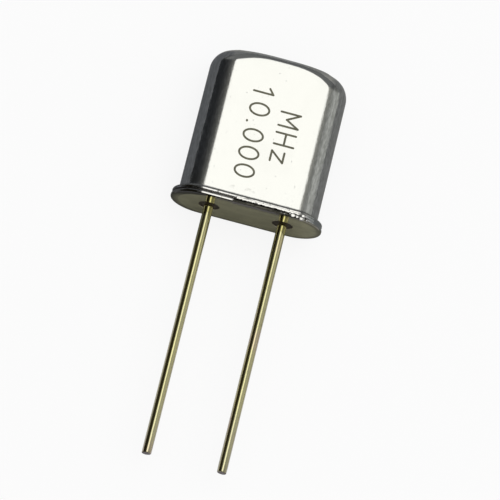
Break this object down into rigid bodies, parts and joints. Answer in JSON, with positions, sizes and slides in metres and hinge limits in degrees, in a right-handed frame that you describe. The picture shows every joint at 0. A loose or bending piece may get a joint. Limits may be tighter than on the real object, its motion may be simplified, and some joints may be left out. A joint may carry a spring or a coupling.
{
  "type": "quartz crystal unit",
  "caption": "Quartz crystal unit in a flat, round-ended, flanged metal can, welded to a base plate with two parallel wire leads in glass beads.",
  "frame": {"origin": "middle of the seating face, halfway between the two leads, on the outside of the base plate", "axes": "+Y from the seating face into the can, so the leads run along -Y; +X along the row of leads, towards the right lead as the marked face is read upright; +Z out of the marked face. The unit lies on its back, the way it comes to rest on a bench"},
  "size_m": [0.0076, 0.0212, 0.0032],
  "materials": {
    "can_metal": "satin nickel over drawn sheet, fine draw lines along the sides",
    "base_metal": "dull plated nickel-iron alloy, half mirror",
    "seal_glass": "fused dark brown sealing glass",
    "lead_metal": "thin pale gold plate on drawn nickel-iron wire",
    "clip_metal": "bright rolled nickel ribbon",
    "quartz": "finely lapped clear quartz",
    "electrode_film": "evaporated silver film",
    "adhesive": "silver-filled epoxy",
    "marking": "dark engraved or printed figures on the marked face, which only the visual model has"
  },
  "bodies": {
    "root": {"can": "can_metal", "base_plate": "base_metal", "left_glass_bead": "seal_glass", "right_glass_bead": "seal_glass", "left_lead": "lead_metal", "right_lead": "lead_metal", "left_spring_clip": "clip_metal", "right_spring_clip": "clip_metal", "quartz_blank": "quartz", "front_electrode": "electrode_film", "rear_electrode": "electrode_film", "left_adhesive": "adhesive", "right_adhesive": "adhesive"}
  },
  "joints": []
}
